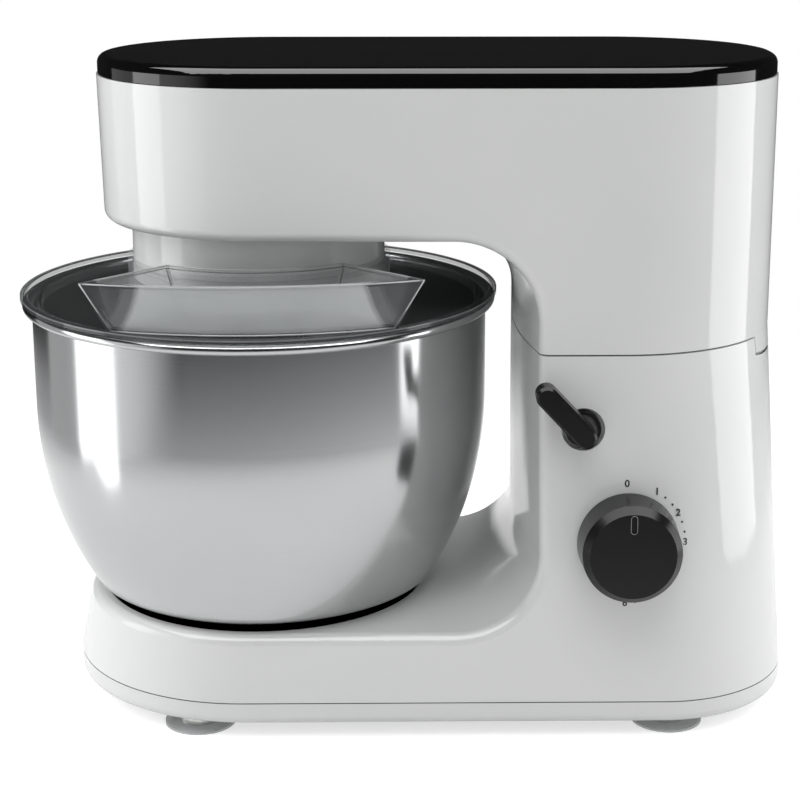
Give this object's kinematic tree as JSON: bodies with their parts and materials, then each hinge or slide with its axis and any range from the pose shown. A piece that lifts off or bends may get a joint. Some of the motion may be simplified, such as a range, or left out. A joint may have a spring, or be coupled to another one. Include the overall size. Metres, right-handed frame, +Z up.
{
  "type": "stand mixer",
  "caption": "Tilt-head stand mixer: white body with black cover, steel bowl, clear splash guard with pouring chute, speed knob, release lever and planetary beater drive.",
  "frame": {"origin": "centre of the bounding box at table level", "axes": "+X from the bowl towards the column at the rear, +Z up, the knob and lever are on the -Y side"},
  "size_m": [0.363, 0.225, 0.306],
  "materials": {
    "white_abs": "satin white moulded ABS",
    "black_gloss": "high-gloss black moulding",
    "black_plastic": "fine satin black moulding",
    "clear_plastic": "clear polished plastic",
    "clear_silicone": "clear soft silicone",
    "polished_steel": "satin polished stainless steel",
    "bright_steel": "bright zinc-plated steel",
    "dark_steel": "oiled laminated steel",
    "cast_aluminium": "cast aluminium, matt",
    "copper": "enamelled copper winding",
    "bronze": "sintered bronze",
    "grey_plastic": "grey moulded nylon",
    "board": "green circuit board",
    "belt_rubber": "black toothed rubber belt"
  },
  "bodies": {
    "stand": {"base_housing": "white_abs", "bottom_plate": "white_abs", "suction_feet": "clear_silicone", "foot_studs": "bright_steel", "bottom_screws": "bright_steel", "bayonet_plate": "grey_plastic", "seat_screws": "bright_steel", "hinge_bracket": "cast_aluminium", "bracket_screws": "bright_steel", "hinge_bushes": "bronze", "interlock_switch": "black_plastic", "lever_bush": "bronze", "lever_spring": "bright_steel", "speed_switch": "grey_plastic", "control_board": "board", "board_parts": "cast_aluminium", "cord_gland": "black_plastic"},
    "head": {"head_shell": "white_abs", "top_cover": "black_gloss", "head_floor": "grey_plastic", "hinge_saddle": "cast_aluminium", "hinge_pin": "bright_steel", "latch_catch": "bright_steel", "neck_collar": "white_abs", "ring_gear": "grey_plastic", "gearbox_frame": "cast_aluminium", "frame_screws": "bright_steel", "gearbox_bridge": "cast_aluminium", "shaft_bearings": "bright_steel", "drive_belt": "belt_rubber", "motor_stator": "dark_steel", "field_coils": "copper", "lower_bracket": "cast_aluminium", "upper_bracket": "cast_aluminium", "motor_bolts": "bright_steel", "brush_holders": "black_plastic"},
    "rotor": {"motor_shaft": "bright_steel", "armature": "dark_steel", "commutator": "copper", "cooling_fan": "black_plastic", "motor_pulley": "cast_aluminium"},
    "layshaft": {"pinion_shaft": "bright_steel", "large_pulley": "grey_plastic"},
    "carrier": {"main_shaft": "bright_steel", "main_gear": "grey_plastic", "planet_carrier": "white_abs"},
    "tool": {"tool_shaft": "bright_steel", "planet_gear": "grey_plastic", "cross_pin": "bright_steel", "flat_beater": "cast_aluminium"},
    "guard": {"splash_guard": "clear_plastic"},
    "bowl": {"bowl": "polished_steel", "bowl_foot": "polished_steel"},
    "lever": {"release_lever": "black_plastic", "lever_shaft": "bright_steel", "latch_hook": "bright_steel"},
    "knob": {"speed_knob": "black_plastic", "switch_spindle": "bright_steel"},
    "plunger": {"interlock_plunger": "black_plastic"}
  },
  "joints": [
    {"name": "head_tilt", "type": "hinge", "parent": "stand", "child": "head", "pos_m": [0.1583, 0, 0.1755], "axis": [0, 1, 0], "range_deg": [0, 38]},
    {"name": "guard_turn", "type": "hinge", "parent": "head", "child": "guard", "pos_m": [-0.069, 0, 0.208], "axis": [0, 0, 1], "range_deg": [0, 20]},
    {"name": "drive_spin", "type": "hinge", "parent": "head", "child": "layshaft", "pos_m": [-0.024, 0, 0.257], "axis": [0, 0, 1], "continuous": true},
    {"name": "armature_spin", "type": "hinge", "parent": "head", "child": "rotor", "pos_m": [0.1123, 0, 0.229], "axis": [0, 0, 1], "continuous": true},
    {"name": "planet_spin", "type": "hinge", "parent": "head", "child": "carrier", "pos_m": [-0.069, 0, 0.242], "axis": [0, 0, 1], "continuous": true},
    {"name": "tool_spin", "type": "hinge", "parent": "carrier", "child": "tool", "pos_m": [-0.039, 0, 0.207], "axis": [0, 0, 1], "continuous": true},
    {"name": "bowl_turn", "type": "hinge", "parent": "stand", "child": "bowl", "pos_m": [-0.069, 0, 0.047], "axis": [0, 0, 1], "range_deg": [0, 30]},
    {"name": "lever_turn", "type": "hinge", "parent": "stand", "child": "lever", "pos_m": [0.0791, -0.06, 0.1461], "axis": [0, -1, 0], "range_deg": [0, 25], "stiffness_Nm_per_rad": 0.2, "springref_deg": -17.19},
    {"name": "knob_turn", "type": "hinge", "parent": "stand", "child": "knob", "pos_m": [0.1, -0.08165, 0.0939], "axis": [0, 0.9987, -0.0519], "range_deg": [0, 180]},
    {"name": "interlock_press", "type": "slide", "parent": "stand", "child": "plunger", "axis": [0, 0, 1], "range_m": [0, 0.002]}
  ],
  "couplings": [
    {"joint": "armature_spin", "follows": "drive_spin", "ratio": 4.8571},
    {"joint": "planet_spin", "follows": "drive_spin", "ratio": -0.2},
    {"joint": "tool_spin", "follows": "drive_spin", "ratio": 0.73333},
    {"joint": "interlock_press", "follows": "head_tilt", "m_per_rad": 0.003}
  ]
}
